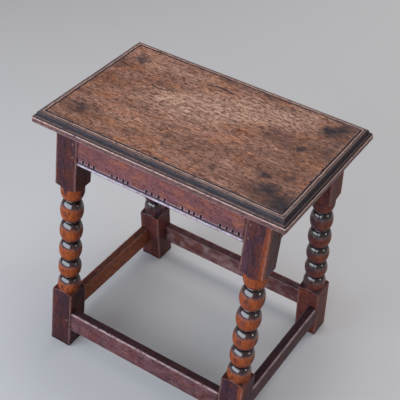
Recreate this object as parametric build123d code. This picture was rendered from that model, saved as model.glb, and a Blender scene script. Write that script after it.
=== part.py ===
from build123d import *
import os
from math import acos, atan, atan2, cos, degrees, radians, sin, sqrt, tan

# Oak joint stool. X runs along the seat, the carved front is at -Y, Z is up,
# and the feet stand on Z = 0 with the origin under the middle of the seat.
# The front and back frames (two legs, apron and stretcher each) are flat and
# square in themselves and lean together at the top. Level aprons and
# stretchers at the two ends join them. All sizes are millimetres.

# Seat board
board_length = 470.0
board_width = 295.0
board_thick = 20.0
edge_height = 9.5         # upright face below the edge moulding
edge_step = 2.6           # narrow flat inside that face
fillet_rise = 3.0         # riser from that flat to the next one
fillet_width = 3.6
ovolo_width = 4.8
ovolo_turn = 3.2          # radius where the ovolo turns over into the top
quirk_inset = 12.1        # board edge to the middle of the line that sets off the ovolo
quirk_width = 2.2
quirk_depth = 1.1
groove_inset = 17.0       # board edge to the middle of the line round the seat
groove_width = 2.6
groove_depth = 1.3

# Whole stool
seat_height = 488.0
end_overhang = 32.0       # board past the outer faces of the legs
side_overhang = 25.0
splay = 5.8               # degrees that the front and back frames lean

# Legs, with lengths along the leg
leg_size = 43.0
leg_arris = 1.4           # rounding of the long edges of the square blocks
upper_block = 119.3
lower_block = 121.0
shoulder_drop = 2.5       # turned shoulder between a square block and the turning
foot_chamfer = 2.0
collar_length = 10.8      # plain round stretch under the upper block
half_bobbin = 20.0        # from a neck to the widest ring, at both ends of the turning
base_seat = 8.7           # how far the last bobbin's widest ring stands above the lower block
base_underside = 14.0     # half height that its underside would have if the block didn't cut it
bobbin_count = 4          # whole bobbins between them
bobbin_step = 1.8         # each whole bobbin is this much shorter than the last
bobbin_diameter = 42.8
neck_diameter = 21.0
turning_sides = 24        # flats round the turned stretch, few because it repeats so often
bobbin_rings = 6          # flats down a whole bobbin, an even number

# Aprons under the seat
apron_depth = 68.0
apron_thick = 20.0
apron_setback = 1.0       # outer face behind the leg's face
bead_height = 6.5         # run moulding along the lower edge
bead_proud = 0.8
bead_quirk = 1.8          # sunk flat between the bead and the apron's face
bead_quirk_height = 2.6
apron_haunch = 12.0       # tenon starts this far below the leg's top
apron_tenon_depth = 48.0
apron_tenon_inset = 8.0   # leg face to the tenon's outer cheek

# Stretchers near the floor
stretcher_depth = 39.0
stretcher_thick = 18.5
end_stretcher_thick = 17.0
stretcher_setback = 0.8
stretcher_arris = 1.5
stretcher_lift = 42.0     # floor to the lower edge
end_stretcher_lift = 39.0
stretcher_shoulder = 5.0  # above and below its tenon
stretcher_tenon_inset = 6.0

# Joints
tenon_thick = 8.0
tenon_end_gap = 1.5       # left at the bottom of each mortise
peg_sides = 8             # the pegs are split and shaved to eight sides, not turned
peg_diameter = 7.0        # across their corners
peg_clearance = 0.1       # all round a peg in its hole
peg_stand = 0.6           # how far a peg's worn head stands out
peg_depth = 27.0          # leg face to the peg's inner end
peg_inset = 8.0           # tenon shoulder to the peg's middle
apron_peg_drops = (30.0, 55.0)   # leg top to the two pegs of an apron joint
seat_peg_diameter = 8.0
seat_peg_grip = 24.0      # length inside the leg
seat_peg_end_inset = 21.5     # leg's outer faces to the middle of the seat peg
seat_peg_side_inset = 28.0

# Allowances for cutting
spare = 1.0               # how far a cut runs clear of the surface it starts from

# Worked out from the sizes above
lean = radians(splay)
frame_top = seat_height - board_thick
leg_end_x = board_length / 2 - end_overhang
leg_side_y = board_width / 2 - side_overhang
leg_length = frame_top / cos(lean)
shoulder_x = leg_end_x - leg_size
over = leg_size           # extra length that the level cuts take off
room_size = 4 * board_length      # side of a box that no cut runs out of
peg_radius = peg_diameter / 2
seat_peg_radius = seat_peg_diameter / 2
end_tenon_reach = leg_size - tenon_end_gap


def front_frame(shape):
    """Moves a shape from the front frame's flat layout to its leaning place.

    In the layout Y = 0 is the legs' outer face, +Y goes into the stool, and
    Z = 0 is the leg top.
    """
    return Pos(0, -leg_side_y, frame_top) * Rot(-splay, 0, 0) * shape


def turned_about(shape):
    """The same shape at the opposite corner or side of the stool."""
    return Rot(0, 0, 180) * shape


def under_board(shape):
    """Cuts a shape level with the floor and the board's underside."""
    room = Box(
        room_size, room_size, frame_top, align=(Align.CENTER, Align.CENTER, Align.MIN)
    )
    return shape & room


def leg_inner_y(height):
    """Distance from the middle plane to the legs' inner faces at a height."""
    return leg_side_y + (frame_top - height) * tan(lean) - leg_size / cos(lean)


def frame_board(low, high, reach, near, far):
    """Straight board in a frame's layout that runs past both shoulders by reach."""
    board = Box(
        2 * (shoulder_x + reach),
        far - near,
        high - low,
        align=(Align.CENTER, Align.MIN, Align.MIN),
    )
    return Pos(0, near, low) * board


def end_board(low, high, reach, near, far):
    """Level board at the -X end, its slanted ends reach past the shoulders.

    near and far are measured inwards from the legs' outer faces.
    """
    slant_reach = reach / cos(lean)
    low_y = leg_inner_y(low) + slant_reach
    high_y = leg_inner_y(high) + slant_reach
    outline = Polygon(
        (-low_y, low),
        (low_y, low),
        (high_y, high),
        (-high_y, high),
        align=None,
    )
    start = Plane(origin=(-leg_end_x + near, 0, 0), x_dir=(0, 1, 0), z_dir=(1, 0, 0))
    return extrude(start * outline, amount=far - near)


def frame_tenon_reach(inset):
    """A front or back tenon stops short of the end tenon that passes it."""
    return leg_size - inset - tenon_thick - tenon_end_gap


# Where the tenons lie: low and high edge, and inset from the leg's outer face
apron_tenon_high = -apron_haunch
apron_tenon_low = apron_tenon_high - apron_tenon_depth
stretcher_low = stretcher_lift - leg_length
stretcher_high = stretcher_low + stretcher_depth
end_stretcher_high = end_stretcher_lift + stretcher_depth


def frame_tenons(gap=0.0):
    """Tenons of one front or back apron and stretcher, or with a gap their mortises."""
    apron = frame_board(
        apron_tenon_low,
        apron_tenon_high,
        frame_tenon_reach(apron_tenon_inset) + gap,
        apron_tenon_inset,
        apron_tenon_inset + tenon_thick,
    )
    stretcher = frame_board(
        stretcher_low + stretcher_shoulder,
        stretcher_high - stretcher_shoulder,
        frame_tenon_reach(stretcher_tenon_inset) + gap,
        stretcher_tenon_inset,
        stretcher_tenon_inset + tenon_thick,
    )
    return apron, stretcher


def end_tenons(gap=0.0):
    """Tenons of the apron and stretcher at the -X end, or with a gap their mortises."""
    apron = end_board(
        frame_top + apron_tenon_low,
        frame_top + apron_tenon_high,
        end_tenon_reach - apron_tenon_inset + gap,
        apron_tenon_inset,
        apron_tenon_inset + tenon_thick,
    )
    stretcher = end_board(
        end_stretcher_lift + stretcher_shoulder,
        end_stretcher_high - stretcher_shoulder,
        end_tenon_reach - stretcher_tenon_inset + gap,
        stretcher_tenon_inset,
        stretcher_tenon_inset + tenon_thick,
    )
    return apron, stretcher


def peg_stick(radius, start, end):
    """Eight-sided stick along +Z, a flat towards each axis, from start to end."""
    section = Rot(0, 0, 180 / peg_sides) * RegularPolygon(radius, peg_sides)
    return extrude(Pos(0, 0, start) * section, amount=end - start)


def side_peg(hole):
    """Peg driven along +Y into a leg whose face is at Y = 0, or the hole bored for it."""
    if hole:
        stick = peg_stick(peg_radius + peg_clearance, -spare, peg_depth + peg_clearance)
    else:
        stick = peg_stick(peg_radius, -peg_stand, peg_depth)
    return Rot(-90, 0, 0) * stick


def frame_peg_places():
    """Name, side (-1 left, 1 right) and height of each peg in the front frame's layout."""
    places = []
    for side, word in ((-1, "left"), (1, "right")):
        for drop, level in zip(apron_peg_drops, ("upper", "lower")):
            places.append((f"apron_{{}}_peg_{word}_{level}", side, -drop))
        middle = stretcher_low + stretcher_depth / 2
        places.append((f"stretcher_{{}}_peg_{word}", side, middle))
    return places


def frame_peg(side, height, hole=False):
    """One peg of the front frame, or its hole."""
    middle_x = shoulder_x + peg_inset
    return front_frame(Pos(side * middle_x, 0, height) * side_peg(hole))


def end_peg_places():
    """Name, side (-1 front, 1 back) and height of each peg at the -X end."""
    places = []
    for side, word in ((-1, "front"), (1, "back")):
        for drop, level in zip(apron_peg_drops, ("upper", "lower")):
            places.append((f"apron_{{}}_peg_{word}_{level}", side, frame_top - drop))
        middle = end_stretcher_lift + stretcher_depth / 2
        places.append((f"stretcher_{{}}_peg_{word}", side, middle))
    return places


def end_peg(side, height, hole=False):
    """One peg driven in from the -X end, or its hole."""
    middle_y = leg_inner_y(height) + peg_inset / cos(lean)
    return Pos(-leg_end_x, side * middle_y, height) * Rot(0, 0, -90) * side_peg(hole)


def seat_peg(side_x, side_y, hole=False):
    """Peg through the board into the top of a leg, or its hole."""
    bottom = frame_top - seat_peg_grip
    if hole:
        stick = peg_stick(
            seat_peg_radius + peg_clearance, bottom - peg_clearance, seat_height + spare
        )
    else:
        stick = peg_stick(seat_peg_radius, bottom, seat_height)
    middle_x = leg_end_x - seat_peg_end_inset
    middle_y = leg_side_y - seat_peg_side_inset
    return Pos(side_x * middle_x, side_y * middle_y, 0) * stick


def ovolo(foot_x, low, high):
    """Lines of a quarter oval that rises from (foot_x + ovolo_width, low) to Y = high.

    The long arc stands square on the step and a tighter one turns it over.
    """
    spread = high - low - ovolo_turn
    inset = ovolo_width - ovolo_turn
    back = (spread ** 2 - inset ** 2) / (2 * inset)
    flank = degrees(atan2(spread, back))
    CenterArc((foot_x - back, low), ovolo_width + back, 0, flank)
    CenterArc((foot_x, low + spread), ovolo_turn, flank, 90 - flank)


def edge_moulding(half_width):
    """Cross-section of the board between two moulded edges, its underside at Y = 0."""
    step_x = half_width - edge_step
    fillet_x = step_x - fillet_width
    fillet_height = edge_height + fillet_rise
    ovolo_x = fillet_x - ovolo_width
    with BuildSketch() as section:
        with BuildLine():
            Polyline(
                (0, board_thick), (0, 0), (half_width, 0),
                (half_width, edge_height), (step_x, edge_height),
                (step_x, fillet_height), (fillet_x, fillet_height),
            )
            ovolo(ovolo_x, fillet_height, board_thick)
            Line((ovolo_x, board_thick), (0, board_thick))
        make_face()
        mirror(about=Plane.YZ)
    return section.sketch


def scratched_ring(inset, width, depth):
    """V-shaped line scratched round the top, this far in from the board's edge."""
    flare = degrees(atan(width / 2 / depth))
    top = Plane(origin=(0, 0, seat_height), x_dir=(1, 0, 0), z_dir=(0, 0, -1))

    def pan(pan_inset, taper):
        outline = Rectangle(board_length - 2 * pan_inset, board_width - 2 * pan_inset)
        return extrude(top * outline, amount=depth, taper=taper)

    return pan(inset - width / 2, flare) - pan(inset + width / 2, -flare)


def seat_board():
    """Plank with a moulded edge all round and holes for its four pegs."""
    across = Plane(
        origin=(-board_length / 2, 0, frame_top), x_dir=(0, 1, 0), z_dir=(1, 0, 0)
    )
    along = Plane(
        origin=(0, board_width / 2, frame_top), x_dir=(1, 0, 0), z_dir=(0, -1, 0)
    )
    long_edges = extrude(across * edge_moulding(board_width / 2), amount=board_length)
    short_edges = extrude(along * edge_moulding(board_length / 2), amount=board_width)
    board = long_edges & short_edges
    board -= scratched_ring(quirk_inset, quirk_width, quirk_depth)
    board -= scratched_ring(groove_inset, groove_width, groove_depth)
    for side_x in (-1, 1):
        for side_y in (-1, 1):
            board -= seat_peg(side_x, side_y, hole=True)
    return board


def oval_points(middle, half_height, start, end, rings):
    """Points (radius, height) down a bobbin between two angles from its upper neck."""
    neck = neck_diameter / 2
    bulge = (bobbin_diameter - neck_diameter) / 2
    angles = [radians(start + (end - start) * ring / rings) for ring in range(rings + 1)]
    return [(neck + bulge * sin(turn), middle + half_height * cos(turn)) for turn in angles]


def turning_profile():
    """Points (radius, height) down the turned stretch, the leg top at height 0.

    Half a bobbin hangs from the upper collar, whole ones follow, and the last
    one sits on the lower block, which cuts its underside short.
    """
    collar_top = -upper_block - shoulder_drop
    collar_end = collar_top - collar_length
    base_top = lower_block - leg_length + shoulder_drop
    base_middle = base_top + base_seat
    first_neck = collar_end - half_bobbin
    mean_pitch = (first_neck - base_middle - half_bobbin) / bobbin_count
    half_rings = bobbin_rings // 2
    points = [(bobbin_diameter / 2, collar_top)]
    points += oval_points(collar_end, half_bobbin, 90, 180, half_rings)
    upper = first_neck
    for number in range(bobbin_count):
        pitch = mean_pitch + bobbin_step * ((bobbin_count - 1) / 2 - number)
        points += oval_points(upper - pitch / 2, pitch / 2, 0, 180, bobbin_rings)[1:]
        upper -= pitch
    points += oval_points(base_middle, half_bobbin, 0, 90, half_rings)[1:]
    seat_angle = degrees(acos(-base_seat / base_underside))
    points += oval_points(base_middle, base_underside, 90, seat_angle, half_rings)[1:]
    return points


def turning():
    """Solid that the lathe leaves, about the leg's axis with the leg top at Z = 0.

    It is what all its side views have in common, so every side is a row of
    flats. Above and below the shoulders it is wider than the square stock.
    """
    corner = leg_size / sqrt(2) + spare
    profile = turning_profile()
    top = [(corner, over), (corner, -upper_block)]
    foot = [(corner, profile[-1][1] - shoulder_drop), (corner, -leg_length - over)]
    right = top + profile + foot
    left = [(-radius, height) for radius, height in reversed(right)]
    view = extrude(Plane.XZ * Polygon(*right, *left, align=None), amount=corner, both=True)
    solid = view
    for number in range(1, turning_sides // 2):
        solid &= Rot(0, 0, 360 / turning_sides * number) * view
    return solid


def foot_room():
    """Space that bevels the sole of the left front leg and leaves the rest of it."""
    bevel_top = foot_chamfer + spare

    def level_square(height):
        middle_y = leg_inner_y(height) + leg_size / cos(lean) / 2
        side = leg_size + 2 * (height - foot_chamfer)
        return Pos(leg_size / 2 - leg_end_x, -middle_y, height) * Rectangle(side, side)

    bevel = loft([level_square(0), level_square(bevel_top)], ruled=True)
    above = Box(
        room_size, room_size, seat_height, align=(Align.CENTER, Align.CENTER, Align.MIN)
    )
    return bevel + Pos(0, 0, bevel_top) * above


def leg_blank():
    """Turned leg before its joints are cut, on the left side of the front frame."""
    square = Rectangle(leg_size, leg_size)
    square = fillet(square.vertices(), leg_arris)
    stock = extrude(Pos(0, 0, -leg_length - over) * square, amount=leg_length + 2 * over)
    body = stock & turning()
    body = Pos(-leg_end_x + leg_size / 2, leg_size / 2, 0) * body
    return under_board(front_frame(body)) & foot_room()


def leg(side):
    """Front leg at the left (-1) or right (1) with its mortises and peg holes."""
    body = leg_blank()
    for mortise in end_tenons(tenon_end_gap):
        body -= mortise
    for _, peg_side, height in end_peg_places():
        if peg_side < 0:
            body -= end_peg(peg_side, height, hole=True)
    for mortise in frame_tenons(tenon_end_gap):
        body -= front_frame(mortise)
    for _, peg_side, height in frame_peg_places():
        if peg_side < 0:
            body -= frame_peg(peg_side, height, hole=True)
    body -= seat_peg(-1, -1, hole=True)
    if side > 0:
        body = mirror(body, about=Plane.YZ)
    return body


def apron_section():
    """Cross-section of an apron: X goes inwards from the leg's face, Y = 0 is its lower edge."""
    quirk_x = apron_setback + bead_quirk
    with BuildSketch() as section:
        with BuildLine():
            Polyline(
                (quirk_x, 0),
                (apron_setback + apron_thick, 0),
                (apron_setback + apron_thick, apron_depth + over),
                (apron_setback, apron_depth + over),
                (apron_setback, bead_height + bead_quirk_height),
                (quirk_x, bead_height),
            )
            ThreePointArc(
                (quirk_x, bead_height),
                (apron_setback - bead_proud, bead_height / 2),
                (quirk_x, 0),
            )
        make_face()
    return section.sketch


def front_apron():
    """Long apron of the front frame with its run bead, tenons and peg holes."""
    start = Plane(
        origin=(-shoulder_x, 0, -apron_depth), x_dir=(0, 1, 0), z_dir=(1, 0, 0)
    )
    board = extrude(start * apron_section(), amount=2 * shoulder_x)
    board += frame_tenons()[0]
    board = under_board(front_frame(board))
    for name, side, height in frame_peg_places():
        if name.startswith("apron"):
            board -= frame_peg(side, height, hole=True)
    return board


def end_apron():
    """Short apron at the -X end, its shoulders cut to the slope of the legs."""
    low = frame_top - apron_depth
    blank = end_board(low, frame_top, 0, 0, leg_size)
    run = leg_inner_y(low)
    start = Plane(
        origin=(-leg_end_x, run, low), x_dir=(1, 0, 0), z_dir=(0, -1, 0)
    )
    board = extrude(start * apron_section(), amount=2 * run) & blank
    board += end_tenons()[0]
    for name, side, height in end_peg_places():
        if name.startswith("apron"):
            board -= end_peg(side, height, hole=True)
    return board


def eased(board, direction):
    """Rounds the long edges of a stretcher that run in the given direction."""
    return fillet(board.edges().filter_by(direction), stretcher_arris)


def front_stretcher():
    """Long stretcher of the front frame with its tenons and peg holes."""
    board = frame_board(
        stretcher_low, stretcher_high, 0,
        stretcher_setback, stretcher_setback + stretcher_thick,
    )
    board = eased(board, Axis.X) + frame_tenons()[1]
    board = front_frame(board)
    for name, side, height in frame_peg_places():
        if name.startswith("stretcher"):
            board -= frame_peg(side, height, hole=True)
    return board


def end_stretcher():
    """Short stretcher at the -X end, level, with shoulders cut to the slope of the legs."""
    board = end_board(
        end_stretcher_lift, end_stretcher_high, 0,
        stretcher_setback, stretcher_setback + end_stretcher_thick,
    )
    board = eased(board, Axis.Y) + end_tenons()[1]
    for name, side, height in end_peg_places():
        if name.startswith("stretcher"):
            board -= end_peg(side, height, hole=True)
    return board


def all_pieces():
    """Every piece of the stool in its place, by name."""
    pieces = {"seat_board": seat_board()}
    left_leg = leg(-1)
    right_leg = leg(1)
    pieces["leg_front_left"] = left_leg
    pieces["leg_front_right"] = right_leg
    pieces["leg_back_right"] = turned_about(left_leg)
    pieces["leg_back_left"] = turned_about(right_leg)
    for kind, long_rail, short_rail in (
        ("apron", front_apron(), end_apron()),
        ("stretcher", front_stretcher(), end_stretcher()),
    ):
        pieces[f"{kind}_front"] = long_rail
        pieces[f"{kind}_back"] = turned_about(long_rail)
        pieces[f"{kind}_left"] = short_rail
        pieces[f"{kind}_right"] = turned_about(short_rail)
    opposite = {"left": "right", "right": "left", "front": "back", "back": "front"}
    for name, side, height in frame_peg_places():
        peg = frame_peg(side, height)
        word = "left" if side < 0 else "right"
        pieces[name.format("front")] = peg
        pieces[name.format("back").replace(word, opposite[word])] = turned_about(peg)
    for name, side, height in end_peg_places():
        peg = end_peg(side, height)
        word = "front" if side < 0 else "back"
        pieces[name.format("left")] = peg
        pieces[name.format("right").replace(word, opposite[word])] = turned_about(peg)
    for side_y, depth_word in ((-1, "front"), (1, "back")):
        for side_x, word in ((-1, "left"), (1, "right")):
            pieces[f"seat_peg_{depth_word}_{word}"] = seat_peg(side_x, side_y)
    return pieces


os.makedirs("parts", exist_ok=True)
for name, piece in all_pieces().items():
    piece.label = name
    export_step(piece, f"parts/{name}.step")
print("pieces written:", len(os.listdir("parts")))
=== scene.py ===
import math

import bmesh
import bpy
import numpy as np
from mathutils import Matrix, Vector, noise


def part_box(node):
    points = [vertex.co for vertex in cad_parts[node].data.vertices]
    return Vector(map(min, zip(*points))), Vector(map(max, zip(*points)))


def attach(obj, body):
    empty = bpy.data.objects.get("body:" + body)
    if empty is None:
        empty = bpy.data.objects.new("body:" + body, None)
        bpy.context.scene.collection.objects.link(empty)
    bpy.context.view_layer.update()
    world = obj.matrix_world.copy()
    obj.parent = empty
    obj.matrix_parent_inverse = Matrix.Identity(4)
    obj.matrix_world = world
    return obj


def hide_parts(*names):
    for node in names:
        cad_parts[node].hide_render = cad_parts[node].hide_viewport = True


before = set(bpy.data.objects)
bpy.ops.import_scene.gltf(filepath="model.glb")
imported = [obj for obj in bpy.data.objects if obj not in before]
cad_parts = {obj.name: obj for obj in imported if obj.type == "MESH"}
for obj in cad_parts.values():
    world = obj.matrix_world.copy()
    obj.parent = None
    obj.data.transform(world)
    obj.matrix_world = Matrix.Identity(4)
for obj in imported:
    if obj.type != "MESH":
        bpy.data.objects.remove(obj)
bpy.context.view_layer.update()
scene = bpy.context.scene
mm = 0.001
print("frame loaded:", len(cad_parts), "nodes")


class Field:
    # a node's output to reckon with: + - * / and abs() each add a Math node
    def __init__(self, tree, socket):
        self.tree = tree
        self.socket = socket

    def __add__(self, other):
        return reckon("ADD", self, other)

    def __sub__(self, other):
        return reckon("SUBTRACT", self, other)

    def __rsub__(self, other):
        return reckon("SUBTRACT", other, self)

    def __mul__(self, other):
        return reckon("MULTIPLY", self, other)

    def __truediv__(self, other):
        return reckon("DIVIDE", self, other)

    def __abs__(self):
        return reckon("ABSOLUTE", self)

    __radd__ = __add__
    __rmul__ = __mul__


def addNode(tree, kind, inputs=None, output=0, **settings):
    # makes a node with links or values in its inputs, and gives the output that is asked for
    made = tree.nodes.new(kind)
    for name, value in settings.items():
        setattr(made, name, value)
    for key, value in (inputs or {}).items():
        if isinstance(value, Field):
            tree.links.new(value.socket, made.inputs[key])
        else:
            made.inputs[key].default_value = value
    return Field(tree, made.outputs[output])


def treeOf(values):
    return next(value.tree for value in values if isinstance(value, Field))


def reckon(operation, *values, clamp=False):
    return addNode(
        treeOf(values), "ShaderNodeMath", dict(enumerate(values)), operation=operation, use_clamp=clamp)


def larger(first, second):
    return reckon("MAXIMUM", first, second)


def smaller(first, second):
    return reckon("MINIMUM", first, second)


def root(value):
    return reckon("SQRT", value)


def reckonVector(operation, *values):
    output = "Value" if operation == "DOT_PRODUCT" else 0
    return addNode(
        treeOf(values), "ShaderNodeVectorMath", dict(enumerate(values)), output, operation=operation)


def splitXyz(vector):
    node = addNode(vector.tree, "ShaderNodeSeparateXYZ", {0: vector}).socket.node
    return [Field(vector.tree, output) for output in node.outputs]


def joinXyz(*parts):
    return addNode(treeOf(parts), "ShaderNodeCombineXYZ", dict(enumerate(parts)))


def smoothStep(value, low, high):
    return addNode(
        value.tree, "ShaderNodeMapRange", {"Value": value, "From Min": low, "From Max": high},
        interpolation_type="SMOOTHSTEP",
    )


def cloud(vector, seed, scale, detail, roughness=0.5):
    return addNode(
        vector.tree, "ShaderNodeTexNoise",
        {"Vector": vector, "W": seed, "Scale": scale, "Detail": detail, "Roughness": roughness},
        "Fac", noise_dimensions="4D",
    )


def newTree(name, numbers, others):
    # numbers: title -> value; others: title -> (socket type, default)
    tree = bpy.data.node_groups.new(name, "GeometryNodeTree")
    tree.interface.new_socket("Geometry", in_out="OUTPUT", socket_type="NodeSocketGeometry")
    inputs = {"Geometry": ("Geometry", None)}
    for title, value in numbers.items():
        inputs[title] = ("Int" if isinstance(value, int) else "Float", value)
    inputs |= others | {"Material": ("Material", None)}
    for title, (kind, value) in inputs.items():
        socket = tree.interface.new_socket(title, in_out="INPUT", socket_type="NodeSocket" + kind)
        if value is not None:
            socket.default_value = value
    outputs = tree.nodes.new("NodeGroupInput").outputs
    return tree, {title: Field(tree, outputs[title]) for title in inputs}


def endTree(geometry, material):
    tree = geometry.tree
    finished = addNode(tree, "GeometryNodeSetMaterial", {"Geometry": geometry, "Material": material})
    tree.links.new(finished.socket, tree.nodes.new("NodeGroupOutput").inputs[0])
    return tree


def readField(tree, name, kind="FLOAT"):
    return addNode(
        tree, "GeometryNodeInputNamedAttribute", {"Name": name}, "Attribute", data_type=kind)


def writeFields(geometry, **fields):
    # the grain is a vector and the others are numbers
    for name, value in fields.items():
        geometry = addNode(
            geometry.tree, "GeometryNodeStoreNamedAttribute",
            {"Geometry": geometry, "Name": name, "Value": value},
            data_type="FLOAT_VECTOR" if name == "grain" else "FLOAT", domain="POINT",
        )
    return geometry


def randomField(low, high, number, seed):
    # inputs 2 and 3 are a float draw's limits, 7 the number it belongs to, 8 its seed
    return addNode(
        number.tree, "FunctionNodeRandomValue", {2: low, 3: high, 7: number, 8: seed}, 1,
        data_type="FLOAT",
    )


def runTree(piece, tree, values):
    # puts the tree on the piece and keeps what it makes as a plain mesh
    modifier = piece.modifiers.new(tree.name, "NODES")
    modifier.node_group = tree
    for item in tree.interface.items_tree:
        if item.item_type == "SOCKET" and item.in_out == "INPUT" and item.name in values:
            modifier[item.identifier] = values[item.name]
    evaluated = piece.evaluated_get(bpy.context.evaluated_depsgraph_get())
    mesh = bpy.data.meshes.new_from_object(evaluated)
    piece.modifiers.remove(modifier)
    piece.data = mesh
    mesh.name = piece.name
    return piece


def newPiece(name, mesh=None):
    piece = bpy.data.objects.new(name, mesh or bpy.data.meshes.new(name))
    scene.collection.objects.link(piece)
    return piece


def finishPiece(piece, slot, *nodes):
    for face in piece.data.polygons:
        face.use_smooth = len(face.vertices) < 5       # the flat ends are polygons of many sides
    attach(piece, "root")
    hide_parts(*nodes)
    print("made", piece.name, len(piece.data.polygons), "faces")


# sizes read off the frame, and the two that no box gives
stool = {
    "splay": math.radians(5.8),
    "sideOverhang": 25 * mm,        # board past the legs' outer faces at the top
}
boardLow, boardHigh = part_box("seat_board")
legLow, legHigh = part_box("leg_front_left")
frameTop = legHigh.z
legSize = legHigh.x - legLow.x
legEndX = -legLow.x
legSideY = boardHigh.y - stool["sideOverhang"]
legLength = frameTop / math.cos(stool["splay"])
shoulderX = legEndX - legSize


def leanMatrix(side):
    # from the flat layout of a frame (Y = 0 the outer face, Z = 0 the leg top) to its place
    lean = Matrix.Translation((0, -legSideY, frameTop)) @ Matrix.Rotation(-stool["splay"], 4, "X")
    return lean if side < 0 else Matrix.Rotation(math.pi, 4, "Z") @ lean


def legInnerY(height):
    lean = stool["splay"]
    return legSideY + (frameTop - height) * math.tan(lean) - legSize / math.cos(lean)


# Every mesh carries what its oak needs: grain (X along the wood), stick (which stick of wood it is),
# dirt and painted shade in the hollows, rub and painted highlights on the arrises,
# tone (-1 deep to 1 bright, with painted shade in places), raw (unfinished) and polish.
def readOak(tree, name, output="Fac"):
    return addNode(tree, "ShaderNodeAttribute", None, output, attribute_name=name)


def stretched(vector, along, across, seed, detail=3, roughness=0.55):
    # noise with features of these lengths in metres along and across the grain
    scaled = reckonVector("MULTIPLY", vector, (1 / along, 1 / across, 1 / across))
    return cloud(scaled, seed, 1, detail, roughness)


def blendColour(factor, first, second, mode="MIX"):
    # inputs 0, 6 and 7 of a colour mix are its factor and two colours, and output 2 its result
    first, second = (
        colour if isinstance(colour, Field) else (*colour, 1) for colour in (first, second))
    return addNode(
        factor.tree, "ShaderNodeMix", {0: factor, 6: first, 7: second}, 2,
        data_type="RGBA", blend_type=mode,
    )


# length along and across the grain in metres, seed, detail and roughness of each pattern
oakPatterns = {
    "broad": (0.16, 0.03, 0, 4, 0.55), "patches": (0.035, 0.018, 3.1, 4, 0.65),
    "blotches": (0.012, 0.008, 7.9, 4, 0.6), "streaks": (0.06, 0.0026, 1.7, 5, 0.62),
    "fibres": (0.02, 0.0008, 4.4, 3, 0.55), "pores": (0.0065, 0.00055, 5.7, 2, 0.5),
    "flecks": (0.005, 0.002, 9.2, 3, 0.6), "mottle": (0.009, 0.0035, 12.6, 4, 0.7),
    "veins": (0.05, 0.009, 11.3, 4, 0.6),
}


def oakMaterial(name, look, figure=None):
    material = bpy.data.materials.new(name)
    material.use_nodes = True
    tree = material.node_tree
    shader = tree.nodes["Principled BSDF"]
    grain = readOak(tree, "grain", "Vector")
    seed = readOak(tree, "stick") * 7.3
    dirt, rub, tone, raw, polish = (
        readOak(tree, word) for word in ("dirt", "rub", "tone", "raw", "polish"))

    # the fibres don't run quite straight
    swerve = (stretched(grain, 0.05, 0.022, seed, 3, 0.5) - 0.5) * look["waver"]
    grain = reckonVector("ADD", grain, joinXyz(0.0, swerve, swerve))
    broad, patches, blotches, streaks, fibres, pores, flecks, mottle, veins = (
        stretched(grain, along, across, seed + shift, detail, roughness)
        for along, across, shift, detail, roughness in oakPatterns.values())

    def part(value, low, high, share=1.0):
        return smoothStep(value, low, high) * share

    def patchy(mask, pattern, floor, gain):
        # a mask broken up by a pattern
        return reckon("MULTIPLY", mask, pattern * gain + floor, clamp=True)

    colour = blendColour(part(broad, 0.32, 0.68), look["dark"], look["light"])
    colour = blendColour(part(patches, 0.45, 0.68, look["warmShare"]), colour, look["warm"])
    colour = blendColour(patchy(larger(tone, 0), patches, 0.5, 0.9), colour, look["bright"])
    colour = blendColour(patchy(larger(tone * -1, 0), blotches, 0.4, 1.1), colour, look["deep"])
    height = streaks * 0.35
    if figure:
        colour, height = figure(tree, grain, seed, colour, height)
    for mask in (
        part(streaks, 0.38, 0.64, look["streakShare"]),
        part(fibres, 0.4, 0.7, look["streakShare"] * 0.6),
        part(mottle, 0.46, 0.62, look["mottleShare"]),
    ):
        colour = blendColour(mask, colour, look["streak"], "MULTIPLY")
    veinMask = part(abs(veins - 0.5), 0.016, 0.003) * part(patches, 0.45, 0.6, look["veinShare"])
    poreMask = part(pores, look["poreEdge"], look["poreEdge"] + 0.07)
    # dirt and painted shade in the hollows darken towards the grime colour
    grimeAndShadeMask = patchy(dirt, blotches, 0.55, 0.9)
    for mask, word in (
        (part(blotches, 0.56, 0.68, look["soilShare"]), "deep"), (veinMask, "deep"), (raw * 0.85, "raw"),
        # rubbed arrises and painted highlights turn pale
        (patchy(rub, blotches, -0.1, 1.9), "rubbed"), (poreMask * look["poreShare"], "pore"),
        (part(flecks, 0.58, 0.66, look["fleckShare"]), "pore"), (grimeAndShadeMask, "grimeAndShade"),
    ):
        colour = blendColour(mask, colour, look[word])

    rough = patches * 0.3 + (look["roughness"] - 0.15) + poreMask * 0.2 + grimeAndShadeMask * 0.12 + raw * 0.35
    rough = rough + polish * look["polishChange"]
    coat = polish * (1 - look["coat"]) + look["coat"]
    height = height + fibres * 0.25 - poreMask * 0.9 + blotches * 0.5
    bump = addNode(
        tree, "ShaderNodeBump", {"Strength": look["bump"], "Distance": 0.3 * mm, "Height": height})
    for title, value in {
        "Base Color": colour, "Roughness": smaller(rough, 0.95), "Normal": bump,
        "Coat Weight": reckon("MULTIPLY", coat, 1 - raw, clamp=True),
    }.items():
        tree.links.new(value.socket, shader.inputs[title])
    for title, word in (
        ("Coat Roughness", "coatRoughness"), ("Coat IOR", "coatIor"), ("Specular IOR Level", "specular"),
    ):
        shader.inputs[title].default_value = look[word]
    return material


seatFigure = {
    "tip": 0.30,             # X of the middle of the nested arches, past the right end
    "middle": 0.006,         # Y of their axis
    "flatten": 0.13,         # width of an arch as a share of its length
    "spacing": 0.0036,       # from line to line
    "waver": 0.010,
    "lineColour": (0.42, 0.33, 0.30),
    # its purple cast is a painted bluish sheen
    "edgeColour": (0.19, 0.078, 0.082),
}


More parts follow.
